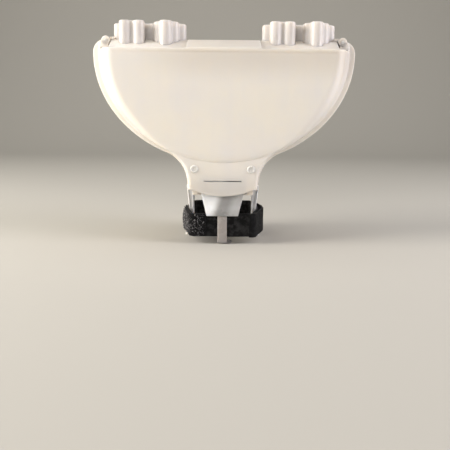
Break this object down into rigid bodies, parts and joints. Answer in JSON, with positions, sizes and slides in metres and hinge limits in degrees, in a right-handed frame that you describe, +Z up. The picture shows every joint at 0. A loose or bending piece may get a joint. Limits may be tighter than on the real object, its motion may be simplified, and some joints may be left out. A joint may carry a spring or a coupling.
{
  "type": "snoot",
  "caption": "Wide frosted bowl diffuser that slips over an on-camera flash head, with hinged fluted lids on top and a hook-and-loop strap round its neck.",
  "frame": {"origin": "middle of the flash head's front plane, where the head stops against the seat", "axes": "+X along the bowl's width, -Y towards its rear face, +Z up out of the flash head"},
  "size_m": [0.228, 0.087, 0.1866],
  "materials": {
    "frosted_shell": "frosted translucent moulding",
    "frosted_dome": "frosted translucent moulding",
    "pin_plastic": "smooth white plastic",
    "black_webbing": "woven loop webbing",
    "hook_tape": "hook tape"
  },
  "bodies": {
    "bowl": {"rear_shell": "frosted_shell", "front_shell": "frosted_shell", "centre_bridge": "frosted_shell", "left_hinge_pin": "pin_plastic", "right_hinge_pin": "pin_plastic", "flash_seat": "frosted_shell", "rear_left_stud": "pin_plastic", "rear_right_stud": "pin_plastic", "front_left_stud": "pin_plastic", "front_right_stud": "pin_plastic", "left_prong": "frosted_shell", "right_prong": "frosted_shell", "strap_band": "black_webbing", "strap_hook_patch": "hook_tape", "strap_tail": "black_webbing"},
    "left_lid": {"left_lid": "frosted_shell", "left_dome": "frosted_dome"},
    "right_lid": {"right_lid": "frosted_shell", "right_dome": "frosted_dome"},
    "rear_tongue": {"rear_tongue": "frosted_shell"},
    "front_tongue": {"front_tongue": "frosted_shell"}
  },
  "joints": [
    {"name": "left_lid_hinge", "type": "hinge", "parent": "bowl", "child": "left_lid", "pos_m": [-0.1015, 0, 0.1293], "axis": [0, -1, 0], "range_deg": [0, 100]},
    {"name": "right_lid_hinge", "type": "hinge", "parent": "bowl", "child": "right_lid", "pos_m": [0.1015, 0, 0.1293], "axis": [0, 1, 0], "range_deg": [0, 100]},
    {"name": "rear_tongue_flex", "type": "hinge", "parent": "bowl", "child": "rear_tongue", "pos_m": [0, -0.0408, 0.0123], "axis": [-1, 0, 0], "range_deg": [0, 5], "stiffness_Nm_per_rad": 0.3},
    {"name": "front_tongue_flex", "type": "hinge", "parent": "bowl", "child": "front_tongue", "pos_m": [0, 0.0408, 0.0123], "axis": [1, 0, 0], "range_deg": [0, 5], "stiffness_Nm_per_rad": 0.3}
  ]
}
